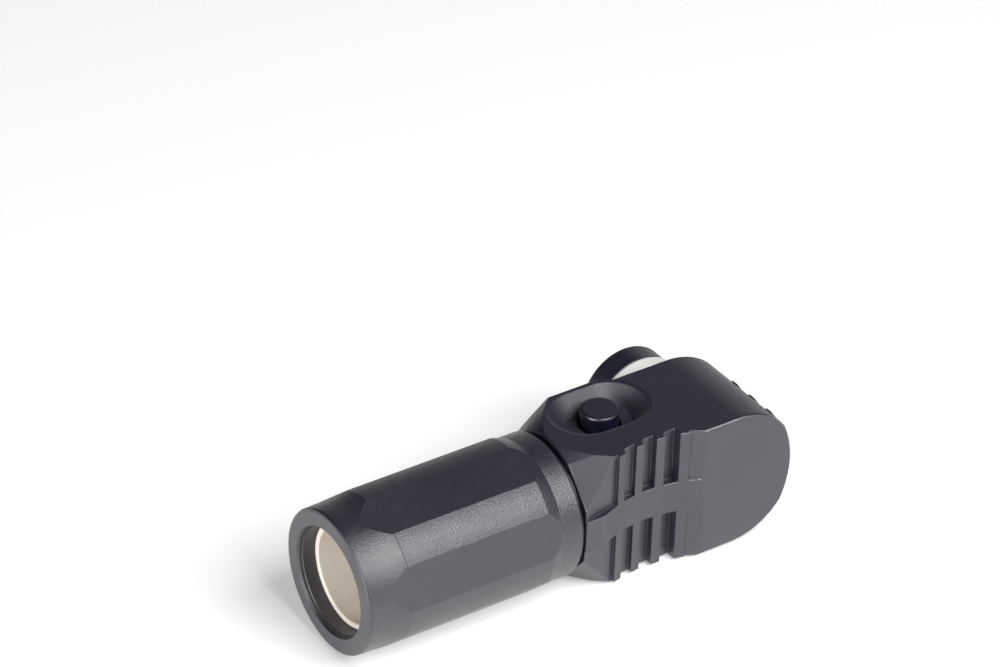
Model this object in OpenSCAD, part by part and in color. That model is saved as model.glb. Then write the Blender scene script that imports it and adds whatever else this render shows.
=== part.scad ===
// Right-angle single-pole power plug for thick cable, touch-safe, with a side push-button latch.
// One socket contact stands inside a round shroud. The cable leaves at a right angle through a
// screwed-on sleeve. Millimetres. The origin is where the contact's guide bore begins.
// +Y is the mating direction, -X the way the cable leaves, +Z the side of the push button.

/* [Sleeve] */
// Length of the screwed-on cable sleeve
sleeve_len = 39.4; // [38:0.2:46]
// Diameter over the round parts of the sleeve
sleeve_d = 25.3; // [25:0.1:26.4]
// Distance across opposite grip flats of the sleeve
sleeve_flats = 24.14; // [24:0.02:24.6]
// Diameter of the hole that the cable goes through
cable_bore_d = 17.7; // [17.2:0.1:18]
// Wall of the light-coloured cable bushing
bushing_wall = 0.9; // [0.7:0.05:1.4]
// How far the bushing stands back inside the sleeve
bushing_setback = 3; // [1:0.25:8]

/* [Housing] */
// Width of the housing, and the diameter of its domed end
body_w = 24.2; // [24:0.1:25]
// Distance from the cable axis to the back face
back_y = 11.4; // [11:0.1:12]
// Distance from the cable axis to the shroud's rim
rim_y = 8.2; // [8:0.1:9.2]
// Distance from the cable axis to the flat lower front face
front_y = 9.5; // [9.3:0.1:9.9]
// Wall of the round shroud
shroud_wall = 1.5; // [1.3:0.05:1.6]
// Distance from the mating axis to the sleeve's mouth
neck_x = 29.35; // [29:0.05:30.2]

/* [Grip] */
// Width of each rib of the rear grip
rib_w = 1.55; // [1.2:0.05:2]
// Half width of the smooth band between the two rows of ribs
band_half = 2.8; // [2:0.1:4]
// Depth of the finger scoop behind the grip
scoop_depth = 2.2; // [1.4:0.1:2.4]
// Height of the short ribs on the dome
dome_step = 0.55; // [0.2:0.05:0.6]

/* [Contact] */
// Diameter of the mating pin
pin_d = 8; // [7:0.1:8.2]
// Number of spring strips in the contact grid
strips = 16; // [10:1:18]
// Outer diameter of the touch-safe nose tip
nose_d = 16; // [15.4:0.1:16.4]
// Outer diameter of the white nose seal
nose_seal_d = 16.8; // [16.5:0.1:17.2]
// Distance from the cable axis to the nose's front face
nose_y = 19.4; // [18.8:0.1:22]

/* [Release button] */
// Diameter of the push button
button_d = 6.4; // [5.4:0.1:7]
// Depth of the finger recess around the button
recess_depth = 3; // [2:0.1:3.4]
// Travel of the push button
press = 1.8; // [1:0.1:2]

/* [Hidden] */
$fn = 96;
e = 0.02;
// the lip of the socket stands a little behind the nose's front face, and the guide bore,
// where the origin is, begins below the lip's chamfer
mouth_y = nose_y - 0.8;
bore_y = mouth_y - 0.6;
// sleeve stations, measured along the cable axis from the mating axis
mouth_x = -neck_x;
end_x = mouth_x - sleeve_len;
end_r = sleeve_flats / 2 - 0.07;
body_r = body_w / 2;
cable_r = cable_bore_d / 2;
thread_r = 10;
seal_r = 11.6;
shoulder_x = mouth_x - 0.95;
seal_len = 2.7;
// groove round the neck, which leaves a gap in front of the sleeve's mouth
neck_r = 10.7;
mouth_gap = 0.85;
gland_x = shoulder_x - 14.7;
gland_len = 5.5;
gland_ridge = 0.4;
gland_rim = 0.3;
ridge_1 = 0.9;
valley_1 = 1.6;
ridge_2 = 2.7;
valley_2 = 3.7;
flange_len = 1.5;
stop_x = gland_x - gland_len - flange_len;
neck_bore_r = 8;
// cone that trims the housing down to the neck, a little off the cable axis
cone_slope = 0.54;
cone_r = 11;
cone_y = -0.5;
// block that slices the facets off beside the neck
cutter = 30;
// where the flat lower front face begins to slope down to the shroud's rim
step_x = -10.5;
step_run = 3.3;
// shroud and nose
shroud_r = body_r - shroud_wall;
nose_r = nose_d / 2;
tube_r = 8.2;
tube_bore_r = 5.8;
tube_end = nose_y - 7.2;
tip_y = nose_y - 4.2;
tip_stem_r = 7;
tip_seat_y = tube_end - 3.2;
tip_land = 1.15;
well_floor = -1.5;
// contact
grid_r = pin_d / 2 + 0.95;
grid_len = 14.6;
grid_y = mouth_y - 2 - grid_len;
contact_r = 5.75;
waist_r = pin_d / 2 - 0.02;
band_r = grid_r - 0.12;
rear_t = 1.2;
strip_t = 0.22;
strip_w = 0.95;
strip_slant = atan(sqrt(pow(band_r - strip_t, 2) - pow(waist_r, 2)) * 2 / grid_len);
screw_r = 2.5;
groove_r = contact_r - 0.45;
oring_r = (tube_bore_r - groove_r) / 2;
oring_y = 5.8;
// cable lug
palm_back = -6;
palm_front = -3.4;
palm_half = 6;
barrel_r = 6.2;
barrel_bore_r = 4.9;
barrel_x0 = -43;
barrel_x1 = -27;
// floor of the contact body on the palm, the washer on it and the screw's head on that
washer_y = palm_front + 1.6;
head_y = washer_y + 0.6;
// release button and latch, in a plane across the mating axis
button_x = -16.65;
button_y = 2.7;
button_r = button_d / 2;
button_gap = 0.35;
recess_x = button_x - 0.15;
recess_y = button_y + 0.15;
recess_r = 5.8;
recess_lip = 0.55;
recess_floor_r = 3.4;
recess_half = 2.5;
latch_t = 1.2;
latch_gap = 0.3;
latch_low = -8.6;
latch_tip_x = -4.4;
latch_far_x = -21;
latch_r = shroud_r + 0.1;
cover_t = 1.5;
cover_r = 6;
pin_len = 1.6;
cover_x = -16.6;
cover_y = 3.2;
cover_tip_x = -3.6;
cover_gap = 0.08;
cover_in = -body_r + cover_t;
spring_top = -0.2;
spring_r = 1.75;
wire_r = 0.3;
// rear grip: where each rib starts, and how deep the pocket before it is
ribs = [[-21.75, 1.9], [-17.95, 2.9], [-14.05, 3.4], [-10, 3.2]];
first_slant = 2;
scoop_x = -15.6;
scoop_half = 9.4;
scoop_edge_r = 5;
// dome: how far its crest is flattened, and where the short ribs on it begin
dome_flat = 0.75;
crest_shift = 5.7;
rib_shift = 1.9;
rib_end_x = 9;
dome_rows = [-9, -4.45, 0.1];
dome_rib_w = 2.1;

// ---------- helpers ----------

// moves the whole part so that the front edge of the guide bore is at the origin
module from_bore() {
    translate([0, -bore_y, 0]) children();
}

// a turned shape about the cable axis; points are [radius, x]
module turned_x(points) {
    rotate([0, 90, 0]) rotate_extrude() polygon(points);
}

// a turned shape about the mating axis; points are [radius, y]
module turned_y(points) {
    rotate([-90, 0, 0]) rotate_extrude() polygon(points);
}

// a flat ring about the mating axis
module ring_y(r_out, r_in, y0, y1) {
    turned_y([[r_in, y0], [r_out, y0], [r_out, y1], [r_in, y1]]);
}

module rod_x(r, x0, x1) {
    translate([x0, 0, 0]) rotate([0, 90, 0]) cylinder(r = r, h = x1 - x0);
}

module rod_y(r, y0, y1) {
    translate([0, y0, 0]) rotate([-90, 0, 0]) cylinder(r = r, h = y1 - y0);
}

module rod_z(r, x, y, z0, z1) {
    translate([x, y, z0]) cylinder(r = r, h = z1 - z0);
}

module block(low, high) {
    translate(low) cube(high - low);
}

// ---------- housing ----------

// side view of the moulding, with the flat lower front face and its step up to the shroud
module side_view() {
    polygon([[shoulder_x, -back_y], [0, -back_y], [0, rim_y], [step_x, rim_y],
        [step_x - step_run, front_y], [shoulder_x, front_y]]);
}

// half section of the moulding up to a front edge, with its rounded edges; points are [half width, y]
function half_section(front, half = body_r) = [[0, -back_y], [half - 0.55, -back_y],
    [half - 0.25, 0.07 - back_y], [half - 0.07, 0.25 - back_y], [half, 0.55 - back_y],
    [half, front - 0.3], [half - 0.1, front - 0.1], [half - 0.3, front], [0, front]];

// the moulding's section across the cable axis, run from one station to another
module cross_run(front, x0, x1) {
    translate([x0, 0, 0]) rotate([90, 0, 90]) linear_extrude(x1 - x0) {
        for (s = [-1, 1]) {
            polygon([for (p = half_section(front)) [p[1], s * p[0]]]);
        }
    }
}

// slanted flats that trim the corners between the neck and the back face
module neck_corners() {
    for (s = [0, 1]) {
        mirror([0, 0, s]) translate([mouth_x + 4.79, 2.09 - back_y, body_r - 1.76])
            rotate([0, -34.9, 231.6]) translate([0, -cutter / 2, -cutter / 2]) cube(cutter);
    }
}

module outer_block() {
    intersection() {
        translate([0, 0, -body_r]) linear_extrude(body_w) side_view();
        union() {
            cross_run(front_y, shoulder_x, step_x);
            cross_run(rim_y, step_x, 0);
        }
        difference() {
            translate([0, cone_y, 0]) turned_x([[0, shoulder_x], [cone_r, shoulder_x],
                [cone_r + 14 * cone_slope, shoulder_x + 14], [cone_r + 14 * cone_slope, 1], [0, 1]]);
            neck_corners();
        }
    }
}

module dome() {
    intersection() {
        turned_y(half_section(rim_y));
        // flattened crest
        translate([-crest_shift, 0, 0])
            turned_y(half_section(rim_y, crest_shift + body_r - dome_flat));
    }
}

// short ribs that run round the dome's flattened crest
module dome_ribs() {
    r = rib_shift + body_r - dome_flat + dome_step;
    w = dome_rib_w;
    intersection() {
        translate([-rib_shift, 0, 0]) {
            for (y0 = dome_rows) {
                turned_y([[r - 2, y0], [r - 0.3, y0], [r - 0.05, y0 + 0.3], [r, y0 + 0.7],
                    [r - 0.02, y0 + w - 0.3], [r - 0.15, y0 + w], [r - 2, y0 + w]]);
            }
        }
        block([rib_end_x, -back_y, -body_r], [body_w, rim_y, body_r]);
    }
}

// pockets between the ribs of the rear grip, on one side of the smooth band
module grip_row() {
    last = ribs[len(ribs) - 1][0] + rib_w;
    translate([0, 0, band_half]) linear_extrude(body_r) {
        for (i = [0:len(ribs) - 1]) {
            x1 = ribs[i][0];
            x0 = i == 0 ? shoulder_x : ribs[i - 1][0] + rib_w;
            floor_y = ribs[i][1] - back_y;
            far_y = i == 0 ? floor_y - first_slant : floor_y - 0.1;
            polygon([[x1, -back_y - 2], [x1, floor_y], [x0 + 0.4, far_y], [x0, far_y - 0.4],
                [x0, -back_y - 2]]);
        }
        // shallow pocket that fades out behind the last rib
        polygon([[last, -back_y - 2], [last, 1.45 - back_y], [last + 1.25, 0.75 - back_y],
            [last + 2.25, 0.15 - back_y], [last + 3.1, -0.02 - back_y], [last + 3.1, -back_y - 2]]);
    }
}

// scoop for the fingers, running across the back face, with a soft edge on both sides
module finger_scoop() {
    big_r = (pow(scoop_half, 2) + pow(scoop_depth, 2)) / (2 * scoop_depth);
    reach = sqrt(pow(big_r + scoop_edge_r, 2) - pow(big_r + scoop_edge_r - scoop_depth, 2));
    turn = asin(reach / (big_r + scoop_edge_r));
    rod_z(big_r, scoop_x, -back_y + scoop_depth - big_r, -body_r - 1, body_r + 1);
    translate([scoop_x, -back_y, -body_r - 1]) linear_extrude(body_w + 2) {
        for (s = [-1, 1]) {
            polygon(concat([[s * reach, -1], [s * (reach - scoop_edge_r * sin(turn)), -1]],
                [for (i = [4:-1:0]) [s * (reach - scoop_edge_r * sin(turn * i / 4)),
                    scoop_edge_r * (1 - cos(turn * i / 4))]]));
        }
    }
}

// slot that the latch plate slides in, with the bores of the button and the spring
module latch_space() {
    half = latch_t / 2 + latch_gap;
    block([latch_far_x - 0.4, button_y - half, cover_in - 1], [latch_tip_x + 0.5, button_y + half, 8]);
    rod_z(button_r + button_gap, button_x, button_y, 2.7 - press, body_r + 1);
    rod_z(spring_r + 0.75, button_x, button_y, cover_in - 1, 3);
}

// finger recess around the button: two cones joined by a straight-sided trough, with a softened lip
module button_recess() {
    side = [[recess_floor_r, 0], [recess_r, recess_depth - 0.15], [recess_r + recess_lip, recess_depth],
        [recess_r + recess_lip, recess_depth + 1]];
    translate([recess_x, recess_y, body_r - recess_depth]) {
        for (s = [-1, 1]) {
            translate([s * recess_half, 0, 0]) rotate_extrude()
                polygon(concat([[0, recess_depth + 1], [0, 0]], side));
        }
        translate([-recess_half, 0, 0]) rotate([90, 0, 90]) linear_extrude(2 * recess_half)
            for (s = [-1, 1]) {
                polygon(concat([[0, recess_depth + 1], [0, 0]], [for (p = side) [s * p[0], p[1]]]));
            }
    }
}

// outline of the cover plate under the latch
module cover_outline(gap) {
    translate([cover_x, cover_y]) circle(r = cover_r + gap);
    translate([cover_x, cover_y + 2.4 - cover_r - gap])
        square([cover_tip_x + gap - cover_x, 2 * cover_r - 3.6 + 2 * gap]);
}

module housing() {
    color([0.13, 0.13, 0.15]) from_bore() {
        difference() {
            union() {
                outer_block();
                dome();
                dome_ribs();
                rod_x(thread_r, gland_x, shoulder_x + e);
            }
            // cable side
            turned_x([[neck_r, shoulder_x - e], [body_w, shoulder_x - e], [body_w, mouth_x + mouth_gap],
                [neck_r, mouth_x + mouth_gap]]);
            rod_x(neck_bore_r, gland_x - 1, barrel_x1 + 3.6);
            block([-30, palm_back - 0.2, -palm_half - 0.6], [7.2, palm_front + 0.02, palm_half + 0.6]);
            // shroud well
            ring_y(shroud_r, tube_r, well_floor, rim_y + 1);
            rod_y(tube_r + e, rim_y, rim_y + 2);
            latch_space();
            button_recess();
            translate([0, 0, -body_r - 1]) linear_extrude(cover_t + 1) cover_outline(cover_gap);
            // grips
            finger_scoop();
            grip_row();
            mirror([0, 0, 1]) grip_row();
            rod_y(tube_bore_r, palm_front - e, rim_y + 2);
        }
        // nose tube, moulded in one with the housing
        turned_y([[tube_bore_r, palm_front], [tube_r + 0.01, palm_front], [tube_r + 0.01, tube_end],
            [tip_stem_r, tube_end], [tip_stem_r, tip_seat_y], [tube_bore_r, tip_seat_y]]);
    }
}

// ---------- cable side ----------

// turned outline of the sleeve: a narrower band at each end and a full-width grip between them
function sleeve_outline() = let (r = sleeve_d / 2, w = r - end_r)
    [[cable_r + 0.4, end_x], [end_r - 0.5, end_x], [end_r - 0.15, end_x + 0.15],
    [end_r, end_x + 0.5], [end_r + 0.06 * w, end_x + 3], [end_r + 0.23 * w, end_x + 4.5],
    [end_r + 0.6 * w, end_x + 6], [r, end_x + 7.1], [r, mouth_x - 6], [r - 0.3 * w, mouth_x - 5.2],
    [end_r + 0.15 * w, mouth_x - 4], [end_r, mouth_x - 3.8], [end_r, mouth_x - 0.25],
    [end_r - 0.2, mouth_x]];

function sleeve_inside() = [[seal_r + 0.1, mouth_x], [seal_r, mouth_x - 0.3],
    [seal_r, shoulder_x - seal_len], [thread_r, shoulder_x - seal_len], [thread_r, stop_x],
    [cable_r, stop_x], [cable_r, end_x + 0.9], [cable_r + 0.12, end_x + 0.8],
    [cable_r + 0.12, end_x + 0.4]];

module sleeve() {
    color([0.15, 0.15, 0.17]) from_bore() intersection() {
        turned_x(concat(sleeve_outline(), sleeve_inside()));
        rotate([0, 90, 0]) linear_extrude(2 * (sleeve_len + neck_x), center = true)
            polygon([for (i = [0:5]) sleeve_flats / 2 / cos(30) * [cos(60 * i + 45), sin(60 * i + 45)]]);
    }
}

module neck_seal() {
    color([0.28, 0.29, 0.31]) from_bore()
        turned_x([[thread_r, shoulder_x - seal_len], [seal_r, shoulder_x - seal_len],
            [seal_r, shoulder_x - 0.7], [seal_r - 0.3, shoulder_x - 0.2],
            [seal_r - 0.7, shoulder_x], [thread_r, shoulder_x]]);
}

module cable_bushing() {
    r = cable_r - 0.1;
    rim_x = end_x + bushing_setback;
    color([0.93, 0.87, 0.76]) from_bore()
        turned_x([[r - bushing_wall, rim_x + 0.2], [r - bushing_wall + 0.25, rim_x],
            [r - 0.2, rim_x], [r, rim_x + 0.2], [r, stop_x],
            [thread_r - 0.1, stop_x], [thread_r - 0.1, stop_x + flange_len],
            [r - bushing_wall, stop_x + flange_len]]);
}

module gland_seal() {
    r = cable_r - bushing_wall - 0.2;
    color([0.3, 0.3, 0.32]) from_bore()
        turned_x([[r, gland_x - gland_len + gland_rim], [r + gland_rim, gland_x - gland_len],
            [thread_r - 0.1, gland_x - gland_len], [thread_r - 0.1, gland_x],
            [r + gland_rim, gland_x], [r, gland_x - gland_rim],
            [r + gland_ridge, gland_x - ridge_1], [r, gland_x - valley_1],
            [r + gland_ridge, gland_x - ridge_2], [r, gland_x - valley_2]]);
}

module cable_lug() {
    color([0.8, 0.81, 0.82]) from_bore() difference() {
        union() {
            rod_x(barrel_r, barrel_x0, barrel_x1);
            block([barrel_x1 - 2, palm_back, -palm_half], [0, palm_front, palm_half]);
            rod_y(palm_half, palm_back, palm_front);
            // the barrel's closed end slopes down to the palm
            intersection() {
                rod_x(barrel_r, barrel_x1 - e, barrel_x1 + 4);
                translate([0, 0, -barrel_r]) linear_extrude(2 * barrel_r)
                    polygon([[barrel_x1 - 1, palm_back], [barrel_x1 - 1, barrel_r], [barrel_x1, barrel_r],
                        [barrel_x1 + 3, palm_front], [barrel_x1 + 3, palm_back]]);
            }
        }
        rod_x(barrel_bore_r, barrel_x0 - 1, barrel_x1 - 2);
        // inspection hole of the barrel
        rod_z(1, barrel_x1 - 2.8, 0, 0, barrel_r + 1);
        rod_y(screw_r, palm_back - 1, palm_front + 1);
    }
}

// ---------- contact ----------

module contact_body() {
    color([0.86, 0.87, 0.88]) from_bore() difference() {
        rod_y(contact_r, palm_front, mouth_y - 2);
        rod_y(grid_r, washer_y, mouth_y);
        rod_y(screw_r + 0.25, palm_front - 1, grid_y);
        // groove of the ring seal
        ring_y(contact_r + 1, groove_r, oring_y - oring_r - 0.15, oring_y + oring_r + 0.15);
    }
}

// hyperbolic contact grid: straight strips slanted round the axis between two bands,
// so that they narrow to a waist a little tighter than the mating pin
module contact_grid() {
    color([0.85, 0.66, 0.36]) from_bore() translate([0, grid_y, 0]) {
        ring_y(grid_r, band_r - strip_t, 0, 1.4);
        ring_y(grid_r, band_r - strip_t, grid_len - 1.4, grid_len);
        intersection() {
            ring_y(grid_r - 0.05, waist_r - 0.5, 0.4, grid_len - 0.4);
            for (i = [0:strips - 1]) {
                translate([0, grid_len / 2, 0]) rotate([0, i * 360 / strips, 0])
                    translate([waist_r + strip_t / 2, 0, 0]) rotate([strip_slant, 0, 0])
                        cube([strip_t, 2 * grid_len, strip_w], center = true);
            }
        }
    }
}

module entry_ring() {
    bore = pin_d / 2 + 0.42;
    color([0.9, 0.9, 0.91]) from_bore()
        turned_y([[bore, mouth_y - 2], [contact_r, mouth_y - 2], [contact_r, mouth_y - 0.15],
            [contact_r - 0.15, mouth_y], [5.32, mouth_y], [5.26, mouth_y - 0.25], [5.1, mouth_y - 0.25],
            [5.04, mouth_y], [bore + 0.35, mouth_y], [bore, bore_y]]);
}

module rear_ring() {
    color([0.86, 0.87, 0.88]) from_bore()
        ring_y(grid_r, pin_d / 2 - 0.3, grid_y - rear_t, grid_y);
}

module contact_screw() {
    top_y = grid_y - rear_t - 0.3;
    color([0.7, 0.71, 0.73]) from_bore() difference() {
        union() {
            rod_y(screw_r, palm_back, head_y + e);
            turned_y([[0, head_y], [grid_r - 0.6, head_y], [grid_r - 0.6, top_y - 0.3],
                [grid_r - 0.9, top_y], [0, top_y]]);
        }
        // hexagon socket
        translate([0, head_y - 0.6, 0]) rotate([-90, 0, 0]) linear_extrude(6)
            polygon([for (i = [0:5]) 2.1 * [cos(60 * i), sin(60 * i)]]);
    }
}

module screw_washer() {
    color([0.75, 0.76, 0.78]) from_bore()
        ring_y(grid_r - 0.2, screw_r + 0.1, washer_y, head_y);
}

module contact_seal() {
    color([0.2, 0.2, 0.22]) from_bore()
        rotate([-90, 0, 0]) translate([0, 0, oring_y]) rotate_extrude()
            translate([groove_r + oring_r, 0]) circle(r = oring_r, $fn = 32);
}

// ---------- nose ----------

module nose_tip() {
    color([0.13, 0.13, 0.15]) from_bore()
        turned_y([[tube_bore_r, tip_seat_y], [tip_stem_r, tip_seat_y], [tip_stem_r, tip_y],
            [nose_r - 0.15, tip_y], [nose_r, tip_y + 0.15], [nose_r, nose_y - 0.35],
            [nose_r - 0.1, nose_y - 0.1], [nose_r - 0.35, nose_y], [nose_r - tip_land, nose_y],
            [nose_r - tip_land - 0.15, nose_y - 0.25], [tube_bore_r + 0.25, nose_y - 0.45],
            [tube_bore_r, nose_y - 0.7]]);
}

module nose_seal() {
    r = nose_seal_d / 2;
    color([0.95, 0.95, 0.93]) from_bore()
        turned_y([[tip_stem_r, tube_end], [r - 0.3, tube_end], [r, tube_end + 0.5],
            [r, tip_y - 0.6], [r - 0.35, tip_y], [tip_stem_r, tip_y]]);
}

// ---------- release button and latch ----------

module release_button() {
    top = body_r - 0.1;
    color([0.12, 0.12, 0.14]) from_bore() difference() {
        translate([button_x, button_y, 0]) rotate_extrude()
            polygon([[0, 2.9], [button_r, 2.9], [button_r, top - 0.35], [button_r - 0.12, top - 0.1],
                [button_r - 0.4, top], [0, top]]);
        // slot that holds the top of the latch plate
        block([button_x - button_r - 1, button_y - latch_t / 2, 2],
            [button_x + button_r + 1, button_y + latch_t / 2, 6.5]);
    }
}

// stamped latch plate: its round edge reaches into the shroud until the button is pressed
module latch_plate() {
    color([0.72, 0.73, 0.75]) from_bore()
        translate([0, button_y + latch_t / 2, 0]) rotate([90, 0, 0]) linear_extrude(latch_t) difference() {
            union() {
                translate([latch_far_x, latch_low]) square([latch_tip_x - latch_far_x, 13 - 0.4]);
                translate([button_x - button_r + 0.4, 0]) square([2 * button_r - 0.8, 6.5]);
            }
            translate([0, press + 0.1]) circle(r = latch_r);
            translate([button_x - spring_r - 0.65, latch_low - 1])
                square([2 * spring_r + 1.3, spring_top - latch_low + 1]);
        }
}

// points round the wire of the coil spring at step i
turns = 6;
steps = 14;
sides = 8;
function coil_pitch() = (spring_top - cover_in - 2 * wire_r) / turns;
function coil_ring(i) = [for (k = [0:sides - 1]) let (a = 360 * i / steps, b = 360 * k / sides)
    [(spring_r + wire_r * cos(b)) * cos(a), (spring_r + wire_r * cos(b)) * sin(a),
        coil_pitch() * i / steps + wire_r * sin(b)]];

module latch_spring() {
    n = turns * steps;
    faces = concat(
        [[for (k = [0:sides - 1]) k]],
        [[for (k = [0:sides - 1]) n * sides + sides - 1 - k]],
        [for (i = [0:n - 1], k = [0:sides - 1])
            let (a = i * sides, b = (i + 1) * sides, m = (k + 1) % sides)
            [a + k, b + k, b + m, a + m]]);
    color([0.78, 0.79, 0.8]) from_bore() translate([button_x, button_y, cover_in + wire_r])
        polyhedron(points = [for (i = [0:n], p = coil_ring(i)) p], faces = faces);
}

module latch_cover() {
    color([0.14, 0.14, 0.16]) from_bore() {
        translate([0, 0, -body_r]) linear_extrude(cover_t) cover_outline(0);
        // pin that centres the spring
        rod_z(spring_r - wire_r - 0.25, button_x, button_y, cover_in - e, cover_in + pin_len);
    }
}

housing();
sleeve();
neck_seal();
cable_bushing();
gland_seal();
cable_lug();
contact_body();
contact_grid();
entry_ring();
rear_ring();
contact_screw();
screw_washer();
contact_seal();
nose_tip();
nose_seal();
release_button();
latch_plate();
latch_spring();
latch_cover();
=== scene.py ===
"""A right-angle power plug lying on a pale table: finishes, fine marks, light and camera.

Lengths are in metres, in the plug's own frame: +y is the mating direction, -x the way the cable
leaves, +x the domed end and +z the side of the push button.
"""

import math

import bpy
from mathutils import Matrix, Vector


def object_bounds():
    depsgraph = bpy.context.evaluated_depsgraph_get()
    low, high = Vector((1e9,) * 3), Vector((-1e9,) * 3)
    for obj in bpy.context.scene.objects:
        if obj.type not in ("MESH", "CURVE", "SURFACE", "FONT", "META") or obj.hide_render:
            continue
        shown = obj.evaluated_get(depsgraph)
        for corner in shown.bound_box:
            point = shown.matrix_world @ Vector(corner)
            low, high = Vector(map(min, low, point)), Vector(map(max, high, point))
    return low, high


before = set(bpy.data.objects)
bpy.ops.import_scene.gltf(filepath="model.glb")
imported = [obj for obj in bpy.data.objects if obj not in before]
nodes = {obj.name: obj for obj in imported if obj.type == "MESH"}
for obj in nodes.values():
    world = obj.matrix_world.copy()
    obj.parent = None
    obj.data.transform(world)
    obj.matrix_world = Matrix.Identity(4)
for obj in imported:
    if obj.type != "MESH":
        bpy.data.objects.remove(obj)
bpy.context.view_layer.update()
scene = bpy.context.scene


# ---------- places and sizes ----------

# Where two numbers stand for a border, a mark is absent at the first and full at the second.

# parting line, a fine groove in the middle of the dome
PARTING_Z = 0.00024
PARTING_HALF_WIDTH = (0.00017, 0.00005)
PARTING_START_X = (-0.0012, 0.003)
PARTING_DEPTH = 1.2

# rounded rim between the housing's back face and its sides; the turn of a face is how far it
# looks along y, 0 on the sides and 1 on the back face
RIM_SIDE_TURN = (0.2, 0.45)
RIM_BACK_TURN = (0.96, 0.85)
RIM_RADIUS = (0.0108, 0.0112)
RIM_Y = (-0.0282, -0.0286)

# finger recess round the button, an oval hollow with streaked walls
RECESS_X, RECESS_Y = -0.0168, -0.01515
RECESS_HALF_STRAIGHT = 0.0025
RECESS_BORDER = (0.0062, 0.0056)
RECESS_FLOOR_Z = (0.008, 0.0085)
OUTSIDE_RECESS = (0.0066, 0.0070)
STREAK_FINENESS = 2200.0
STREAK_STRETCH = (1.0, 1.0, 0.04)
STREAK_DEPTH = 0.35
RECESS_MATT = 0.6

# line at the cable end of the sleeve, and painted light that makes the taper there paler
SLEEVE_LINE_X = -0.0612
SLEEVE_LINE_HALF_WIDTH = (0.00012, 0.00003)
SLEEVE_LINE_DEPTH = 0.5
PAINTED_LIGHT_START_X = (-0.052, -0.062)
PAINTED_LIGHT_END_X = (-0.0686, -0.0676)
PAINTED_LIGHT_SHARE = 0.12

# glossy side of the button, below its rounded top edge
BUTTON_SIDE_Z = (0.0117, 0.0112)
BUTTON_SIDE_GLOSS = 0.7

# black plastic
MARK_HEIGHT = 0.0001
EDGE_GLOSS = 0.2
RUB_GLOSS = 0.05
MATT_ROUGHNESS = 0.25
SPECKLE_PER_DEPTH = 1000
# painted highlight: polished edges facing this way are painted paler, where they would catch the
# lamps
HIGHLIGHT_FACING = (0.0, -0.7, 0.714)
HIGHLIGHT_BORDER = (0.6, 0.96)
HIGHLIGHT_SHARE = 0.65
PAINTED_HIGHLIGHT_COLOUR = (0.20, 0.20, 0.215)
# painted light: the grey that makes the sleeve's cable-end taper paler, standing in for light on
# it
PAINTED_LIGHT_COLOUR = (0.060, 0.058, 0.060)

# table, light and camera
TABLE_SIZE = 8
TABLE_GAP = 0.00004
TABLE_COLOUR = (0.90, 0.895, 0.885, 1)
TABLE_GLOW = 0.3
ROOM_LIGHT, ROOM_WHITE = 0.05, 1.0
PLUG_MIDDLE = (-0.028, -0.012, 0)
LAMP_DISTANCE = 0.9
CAMERA_PLACE = (-0.37345, -0.49941, 0.42780)
CAMERA_TURN_DEGREES = (56.198, -1.479, -33.869)
CAMERA_LENS, CAMERA_SENSOR = 167.05, 36


# ---------- building node trees ----------


def feed(tree, node, values):
    """Gives the node's inputs a value or another node's socket each."""
    for key, value in values.items():
        if isinstance(value, bpy.types.NodeSocket):
            tree.links.new(value, node.inputs[key])
        else:
            node.inputs[key].default_value = value


def put(tree, kind, inputs=None, **settings):
    """A node of that kind, with its settings and its inputs."""
    node = tree.nodes.new("ShaderNode" + kind)
    for name, value in settings.items():
        setattr(node, name, value)
    feed(tree, node, inputs or {})
    return node


def maths(tree, operation, first, *others):
    """The operation on the first value and the next, then on that result and the next."""
    for other in others or (0.0,):
        first = put(tree, "Math", {0: first, 1: other}, operation=operation).outputs[0]
    return first


def step(tree, value, border):
    """0 at the border's first number and beyond it, 1 at its second, and smooth in between."""
    low, high = border
    inputs = {"Value": value, "From Min": low, "From Max": high}
    return put(tree, "MapRange", inputs, interpolation_type="SMOOTHSTEP").outputs[0]


def ramp(tree, value, stops):
    """A ramp between two greys; stops are (place, grey)."""
    node = put(tree, "ValToRGB", {0: value})
    for element, (place, grey) in zip(node.color_ramp.elements, stops):
        element.position = place
        element.color = (grey, grey, grey, 1)
    return node.outputs[0]


def between(tree, share, low, high):
    """low where share is 0 and high where it is 1, for numbers or colours."""
    if not isinstance(high, tuple):
        inputs = {"Value": share, "To Min": low, "To Max": high}
        return put(tree, "MapRange", inputs).outputs[0]
    if isinstance(low, tuple):
        low = (*low, 1)
    # a mix node's inputs 6 and 7 and its output 2 are the colours
    return put(tree, "Mix", {0: share, 6: low, 7: (*high, 1)}, data_type="RGBA").outputs[2]


def distance(tree, across, along):
    """How far a point lies from where both values are 0."""
    flat = put(tree, "CombineXYZ", {0: across, 1: along}).outputs[0]
    return put(tree, "VectorMath", {0: flat}, operation="LENGTH").outputs["Value"]


def facing(tree, normal, way):
    """1 where the normal points that way, and less as it turns off it."""
    return put(tree, "VectorMath", {0: normal, 1: way}, operation="DOT_PRODUCT").outputs["Value"]


def new_effect(name, inputs, outputs):
    """An empty shader group with named sockets, with its input and output nodes."""
    tree = bpy.data.node_groups.new(name, "ShaderNodeTree")
    for label, kind, value in inputs:
        socket = tree.interface.new_socket(label, in_out="INPUT", socket_type="NodeSocket" + kind)
        if value is not None:
            socket.default_value = value
    for label, kind in outputs:
        tree.interface.new_socket(label, in_out="OUTPUT", socket_type="NodeSocket" + kind)
    given = tree.nodes.new("NodeGroupInput").outputs
    return tree, given, tree.nodes.new("NodeGroupOutput").inputs


def use(tree, effect, **values):
    """Places a shared effect in a material; values are named as its inputs."""
    node = tree.nodes.new("ShaderNodeGroup")
    node.node_tree = effect
    feed(tree, node, values)
    return node.outputs


# ---------- shared effects ----------


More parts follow.
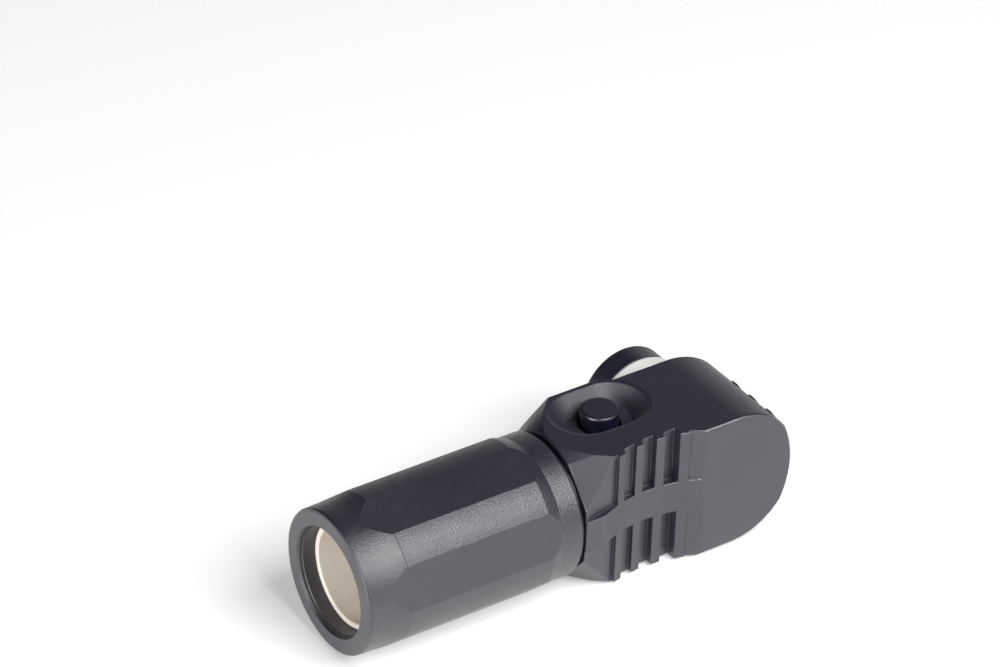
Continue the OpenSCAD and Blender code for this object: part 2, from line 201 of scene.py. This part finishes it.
def soft_edges():
    """Rounds the edges in the light and gives a mask of where the edges are."""
    inputs = [("Radius", "Float", 0.0002)]
    tree, given, out = new_effect("soft edges", inputs, [("Normal", "Vector"), ("Edge", "Float")])
    rounded = put(tree, "Bevel", {"Radius": given["Radius"]}, samples=6).outputs[0]
    flat = put(tree, "NewGeometry").outputs["Normal"]
    tree.links.new(rounded, out["Normal"])
    edge = ramp(tree, facing(tree, rounded, flat), [(0.80, 1.0), (0.995, 0.0)])
    tree.links.new(edge, out["Edge"])
    return tree


def moulded_grain():
    """The fine spark texture of a mould, with its own speckle for colour and gloss."""
    tree, given, out = new_effect(
        "moulded grain",
        [("Size", "Float", 0.0002), ("Depth", "Float", 0.00001), ("Normal", "Vector", None)],
        [("Normal", "Vector"), ("Speckle", "Float")])
    place = put(tree, "TexCoord").outputs["Object"]
    scale = maths(tree, "DIVIDE", 1.0, given["Size"])
    pit_fineness, pit_share = 0.8, 0.6
    pit_scale = maths(tree, "MULTIPLY", scale, pit_fineness)
    fine = put(tree, "TexNoise", {
        "Vector": place, "Scale": scale, "Detail": 3.0, "Roughness": 0.62}).outputs[0]
    pits = put(tree, "TexVoronoi", {
        "Vector": place, "Scale": pit_scale}, feature="SMOOTH_F1").outputs[0]
    height = maths(tree, "ADD", fine, maths(tree, "MULTIPLY", pits, pit_share))
    bump = put(tree, "Bump", {
        "Strength": 1.0, "Distance": given["Depth"], "Height": height, "Normal": given["Normal"]})
    tree.links.new(bump.outputs[0], out["Normal"])
    tree.links.new(ramp(tree, fine, [(0.36, 0.0), (0.64, 1.0)]), out["Speckle"])
    return tree


def handling():
    """Slow changes of gloss from flow in the mould and from handling, with faint rub marks."""
    inputs = [("Reach", "Float", 0.009)]
    tree, given, out = new_effect("handling", inputs, [("Cloud", "Float"), ("Rubs", "Float")])
    place = put(tree, "TexCoord").outputs["Object"]
    scale = maths(tree, "DIVIDE", 1.0, given["Reach"])
    rub_fineness, rub_turn, rub_stretch = 2.2, (0.3, 0.5, 0.4), (1.0, 14.0, 14.0)
    rub_scale = maths(tree, "MULTIPLY", scale, rub_fineness)
    drawn = put(tree, "Mapping", {
        "Vector": place, "Rotation": rub_turn, "Scale": rub_stretch}).outputs[0]
    cloud = put(tree, "TexNoise", {
        "Vector": place, "Scale": scale, "Detail": 4.0, "Roughness": 0.55}).outputs[0]
    rubs = put(tree, "TexNoise", {
        "Vector": drawn, "Scale": rub_scale, "Detail": 2.0}).outputs[0]
    tree.links.new(ramp(tree, cloud, [(0.3, 0.0), (0.72, 1.0)]), out["Cloud"])
    tree.links.new(ramp(tree, rubs, [(0.62, 0.0), (0.74, 1.0)]), out["Rubs"])
    return tree


SOFT_EDGES = soft_edges()
MOULDED_GRAIN = moulded_grain()
HANDLING = handling()


# ---------- marks that belong to one moulding ----------


def housing_form(tree):
    """Parting line on the dome, polished rim round the back face that also takes the painted edge
    highlight, matt streaked recess.
    """
    coordinates = put(tree, "TexCoord").outputs
    place = coordinates["Object"]
    x, y, z = put(tree, "SeparateXYZ", {0: place}).outputs

    off = maths(tree, "ABSOLUTE", maths(tree, "SUBTRACT", z, PARTING_Z))
    line = maths(tree, "MULTIPLY",
                 step(tree, off, PARTING_HALF_WIDTH), step(tree, x, PARTING_START_X))

    normal = put(tree, "SeparateXYZ", {0: coordinates["Normal"]}).outputs
    turn = maths(tree, "ABSOLUTE", normal[1])
    radius = distance(tree, maths(tree, "MAXIMUM", x, 0.0), z)
    rim = maths(tree, "MULTIPLY", step(tree, turn, RIM_SIDE_TURN), step(tree, turn, RIM_BACK_TURN),
                step(tree, radius, RIM_RADIUS), step(tree, y, RIM_Y))

    beside = maths(tree, "ABSOLUTE", maths(tree, "SUBTRACT", x, RECESS_X))
    past_straight = maths(tree, "SUBTRACT", beside, RECESS_HALF_STRAIGHT)
    reach = distance(tree, maths(tree, "MAXIMUM", past_straight, 0.0),
                     maths(tree, "SUBTRACT", y, RECESS_Y))
    hollow = maths(tree, "MULTIPLY",
                   step(tree, reach, RECESS_BORDER), step(tree, z, RECESS_FLOOR_Z))
    drawn = put(tree, "Mapping", {"Vector": place, "Scale": STREAK_STRETCH}).outputs[0]
    streak = put(tree, "TexNoise", {
        "Vector": drawn, "Scale": STREAK_FINENESS, "Detail": 2.0}).outputs[0]

    height = maths(tree, "SUBTRACT", maths(tree, "MULTIPLY", streak, hollow, STREAK_DEPTH),
                   maths(tree, "MULTIPLY", line, PARTING_DEPTH))
    plain = maths(tree, "MAXIMUM",
                  step(tree, reach, OUTSIDE_RECESS), step(tree, z, RECESS_FLOOR_Z[::-1]))
    matt = maths(tree, "MULTIPLY", hollow, RECESS_MATT)
    return {"Height": height, "Polish": rim, "Plain": plain, "Matt": matt}


def sleeve_form(tree):
    """A fine line runs round the sleeve near its cable end, and the taper at that end is painted a
    little paler to stand in for light.
    """
    x = put(tree, "SeparateXYZ", {0: put(tree, "TexCoord").outputs["Object"]}).outputs[0]
    off = maths(tree, "ABSOLUTE", maths(tree, "SUBTRACT", x, SLEEVE_LINE_X))
    line = step(tree, off, SLEEVE_LINE_HALF_WIDTH)
    painted_light = maths(tree, "MULTIPLY",
                 step(tree, x, PAINTED_LIGHT_END_X), PAINTED_LIGHT_SHARE, step(tree, x, PAINTED_LIGHT_START_X))
    return {"Height": maths(tree, "MULTIPLY", line, -SLEEVE_LINE_DEPTH), "PaintedLight": painted_light}


def button_form(tree):
    """The button's side is glossier than its top."""
    z = put(tree, "SeparateXYZ", {0: put(tree, "TexCoord").outputs["Object"]}).outputs[2]
    return {"Matt": maths(tree, "MULTIPLY", step(tree, z, BUTTON_SIDE_Z), -BUTTON_SIDE_GLOSS)}


# ---------- finishes ----------


def new_finish(name, **constants):
    """An empty material with a Principled shader; constants sit on the shader itself."""
    material = bpy.data.materials.new(name)
    material.use_nodes = True
    tree = material.node_tree
    shader = tree.nodes["Principled BSDF"]
    for key, value in constants.items():
        shader.inputs[key.replace("_", " ")].default_value = value
    return material, tree, shader


def black_plastic(name, dark, light, rough, grain_size, grain_depth, edge, form=None):
    """Moulded black plastic with glossier edges and a painted highlight on those facing up and
    back; form adds the marks of one moulding.

    Height is the marks' relief, Polish their gloss and where edges get the painted highlight,
    Plain where edges keep both, the painted-light mark how far the colour is painted paler to
    stand in for light, and Matt how dull.
    """
    material, tree, shader = new_finish(name, IOR=1.6, Specular_IOR_Level=1.0)
    edges = use(tree, SOFT_EDGES, Radius=edge)
    grain = use(tree, MOULDED_GRAIN, Size=grain_size, Depth=grain_depth, Normal=edges["Normal"])
    wear = use(tree, HANDLING)
    marks = form(tree) if form else {}
    normal = grain["Normal"]
    if "Height" in marks:
        normal = put(tree, "Bump", {
            "Strength": 1.0, "Distance": MARK_HEIGHT, "Height": marks["Height"],
            "Normal": normal}).outputs[0]
    polish = edges["Edge"]
    if "Polish" in marks:
        polish = maths(tree, "MAXIMUM", polish, marks["Polish"])
    if "Plain" in marks:
        polish = maths(tree, "MULTIPLY", polish, marks["Plain"])

    # edges that look up and back, where they would mirror the lamps, get a painted highlight: a
    # paler colour
    upward = step(tree, facing(tree, edges["Normal"], HIGHLIGHT_FACING), HIGHLIGHT_BORDER)
    painted_highlight = maths(tree, "MULTIPLY", polish, upward, HIGHLIGHT_SHARE)
    colour = between(tree, grain["Speckle"], dark, light)
    colour = between(tree, painted_highlight, colour, PAINTED_HIGHLIGHT_COLOUR)
    # painted light: the sleeve's cable-end taper is painted paler, standing in for the light that
    # falls there
    if "PaintedLight" in marks:
        colour = between(tree, marks["PaintedLight"], colour, PAINTED_LIGHT_COLOUR)

    smooth, dull = rough - 0.04, rough + 0.05
    speckle = grain_depth * SPECKLE_PER_DEPTH
    roughness = maths(
        tree, "ADD", between(tree, wear["Cloud"], smooth, dull),
        maths(tree, "MULTIPLY", wear["Rubs"], -RUB_GLOSS),
        maths(tree, "MULTIPLY", polish, -EDGE_GLOSS),
        between(tree, grain["Speckle"], speckle, -speckle))
    if "Matt" in marks:
        matt = maths(tree, "MULTIPLY", marks["Matt"], MATT_ROUGHNESS)
        roughness = maths(tree, "ADD", roughness, matt)
    feed(tree, shader, {"Base Color": colour, "Roughness": roughness, "Normal": normal})
    return material


def plain_surface(tree, edge, grain_size, grain_depth, reach):
    """The normal of a softened, grained surface, and its changes of gloss."""
    edges = use(tree, SOFT_EDGES, Radius=edge)
    grain = use(tree, MOULDED_GRAIN, Size=grain_size, Depth=grain_depth, Normal=edges["Normal"])
    return grain["Normal"], use(tree, HANDLING, Reach=reach)


def ivory_plastic():
    """Light-coloured plastic of the bushing, which light enters a little."""
    material, tree, shader = new_finish(
        "ivory bushing", IOR=1.5, Subsurface_Weight=0.12, Subsurface_Scale=0.0008,
        Subsurface_Radius=(1.0, 0.62, 0.35))
    normal, wear = plain_surface(
        tree, edge=0.00015, grain_size=0.0004, grain_depth=0.000004, reach=0.006)
    feed(tree, shader, {
        "Base Color": between(tree, wear["Cloud"], (0.95, 0.85, 0.75), (0.97, 0.90, 0.82)),
        "Roughness": between(tree, wear["Cloud"], 0.34, 0.46), "Normal": normal})
    return material


def rubber(name, dark, light, rough):
    """Smooth rubber of the seals."""
    material, tree, shader = new_finish(name, IOR=1.48)
    normal, wear = plain_surface(
        tree, edge=0.00025, grain_size=0.0003, grain_depth=0.000006, reach=0.005)
    smooth, dull = rough - 0.06, rough + 0.08
    feed(tree, shader, {
        "Base Color": between(tree, wear["Cloud"], dark, light),
        "Roughness": between(tree, wear["Cloud"], smooth, dull), "Normal": normal})
    return material


def plated_metal(name, dark, light, rough, grain_depth=0.000002):
    """Plated or bare metal, duller where it is rubbed."""
    material, tree, shader = new_finish(name, Metallic=1.0)
    normal, wear = plain_surface(
        tree, edge=0.0001, grain_size=0.00025, grain_depth=grain_depth, reach=0.004)
    smooth, dull = rough - 0.05, rough + 0.06
    rub_dullness = 0.1
    roughness = maths(tree, "ADD", between(tree, wear["Cloud"], smooth, dull),
                      maths(tree, "MULTIPLY", wear["Rubs"], rub_dullness))
    feed(tree, shader, {
        "Base Color": between(tree, wear["Cloud"], dark, light),
        "Roughness": roughness, "Normal": normal})
    return material


def dress(material, slot, *names):
    """Gives the named pieces that material; the slot is not used."""
    for name in names:
        nodes[name].data.materials.clear()
        nodes[name].data.materials.append(material)


def housing_black():
    return black_plastic(
        "housing black", dark=(0.0040, 0.0052, 0.0160), light=(0.0080, 0.0092, 0.0225), rough=0.44,
        grain_size=0.00022, grain_depth=0.000026, edge=0.00026, form=housing_form)


def nose_black():
    return black_plastic(
        "nose black", dark=(0.0040, 0.0052, 0.0160), light=(0.0080, 0.0092, 0.0225), rough=0.44,
        grain_size=0.00022, grain_depth=0.000026, edge=0.0002)


def sleeve_black():
    return black_plastic(
        "sleeve black", dark=(0.0045, 0.0055, 0.0160), light=(0.0200, 0.0210, 0.0320), rough=0.37,
        grain_size=0.00018, grain_depth=0.000060, edge=0.0002, form=sleeve_form)


def button_black():
    return black_plastic(
        "button black", dark=(0.0040, 0.0052, 0.0160), light=(0.0070, 0.0082, 0.0210), rough=0.36,
        grain_size=0.0003, grain_depth=0.000008, edge=0.0002, form=button_form)


def grey_rubber():
    return rubber("grey rubber", (0.06, 0.063, 0.068), (0.085, 0.09, 0.095), rough=0.5)


def black_rubber():
    return rubber("black rubber", (0.02, 0.02, 0.021), (0.03, 0.03, 0.031), rough=0.5)


def white_rubber():
    return rubber("white rubber", (0.86, 0.86, 0.84), (0.93, 0.93, 0.91), rough=0.4)


def silver_plate():
    return plated_metal("silver plate", (0.80, 0.80, 0.79), (0.92, 0.92, 0.91), rough=0.24)


def gold_plate():
    return plated_metal("gold plate", (0.72, 0.50, 0.24), (0.90, 0.70, 0.40), rough=0.26)


def tin_plate():
    return plated_metal(
        "tin plate", (0.62, 0.63, 0.64), (0.76, 0.77, 0.78), rough=0.38, grain_depth=0.000006)


def spring_steel():
    return plated_metal("spring steel", (0.55, 0.56, 0.58), (0.68, 0.69, 0.71), rough=0.28)


dress(housing_black(), "black_plastic", "housing")
dress(nose_black(), "black_plastic", "nose_tip", "latch_cover")
dress(sleeve_black(), "sleeve_plastic", "sleeve")
dress(button_black(), "button_plastic", "release_button")
dress(ivory_plastic(), "ivory_plastic", "cable_bushing")
dress(grey_rubber(), "grey_rubber", "neck_seal")
dress(black_rubber(), "black_rubber", "gland_seal", "contact_seal")
dress(white_rubber(), "white_rubber", "nose_seal")
dress(silver_plate(), "silver_plate", "contact_body", "entry_ring", "rear_ring")
dress(gold_plate(), "gold_plate", "contact_grid")
dress(tin_plate(), "tin_plate", "cable_lug")
dress(spring_steel(), "spring_steel",
      "contact_screw", "screw_washer", "latch_plate", "latch_spring")


# ---------- table, light and camera ----------


def pale_table():
    """A matt table just below the plug, which glows a little to the eye and keeps the shadow."""
    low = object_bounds()[0].z
    bpy.ops.object.select_all(action="DESELECT")
    bpy.ops.mesh.primitive_plane_add(size=TABLE_SIZE, location=(0, 0, low - TABLE_GAP))
    table = bpy.context.active_object
    table.name = "table"
    material, tree, shader = new_finish("pale table", Roughness=0.7, Specular_IOR_Level=0.2)
    shader.inputs["Base Color"].default_value = TABLE_COLOUR
    path = put(tree, "LightPath").outputs
    mirrored = maths(tree, "MAXIMUM", path["Is Glossy Ray"], path["Is Transmission Ray"])
    seen = maths(tree, "MAXIMUM", path["Is Camera Ray"], mirrored)
    level = maths(tree, "MULTIPLY", seen, TABLE_GLOW)
    glow = put(tree, "Emission", {"Color": (1, 1, 1, 1), "Strength": level})
    both = put(tree, "AddShader", {0: shader.outputs[0], 1: glow.outputs[0]})
    tree.links.new(both.outputs[0], tree.nodes["Material Output"].inputs["Surface"])
    table.data.materials.append(material)


def lamp(name, toward, size, power):
    """A square soft lamp that stands in the direction toward, seen from the plug."""
    data = bpy.data.lights.new(name, "AREA")
    data.size = size
    data.energy = power
    holder = bpy.data.objects.new(name, data)
    scene.collection.objects.link(holder)
    way = Vector(toward).normalized()
    holder.location = Vector(PLUG_MIDDLE) + way * LAMP_DISTANCE
    holder.rotation_mode = "QUATERNION"
    holder.rotation_quaternion = (-way).to_track_quat("-Z", "Y")


def studio():
    """A room that is white to the eye but dim in what the plug mirrors, with four soft lamps."""
    world = bpy.data.worlds.new("studio")
    scene.world = world
    world.use_nodes = True
    tree = world.node_tree
    seen = put(tree, "LightPath").outputs["Is Camera Ray"]
    tree.links.new(between(tree, seen, ROOM_LIGHT, ROOM_WHITE),
                   tree.nodes["Background"].inputs["Strength"])
    lamp("key lamp", toward=(0.120, -0.631, 0.766), size=0.55, power=8.4)
    lamp("side lamp", toward=(-0.938, -0.279, 0.208), size=0.5, power=7.0)
    lamp("front lamp", toward=(0.407, -0.765, 0.5), size=0.35, power=1.2)
    lamp("far lamp", toward=(0.692, 0.692, 0.208), size=0.5, power=0.5)


def camera():
    """A long lens that looks down on the plug from its back and cable end."""
    data = bpy.data.cameras.new("camera")
    data.sensor_width = CAMERA_SENSOR
    data.lens = CAMERA_LENS
    data.clip_start = 0.05
    data.clip_end = 20
    holder = bpy.data.objects.new("camera", data)
    scene.collection.objects.link(holder)
    holder.location = CAMERA_PLACE
    holder.rotation_euler = [math.radians(turn) for turn in CAMERA_TURN_DEGREES]
    scene.camera = holder


scene.view_settings.view_transform = "Standard"
pale_table()
studio()
camera()
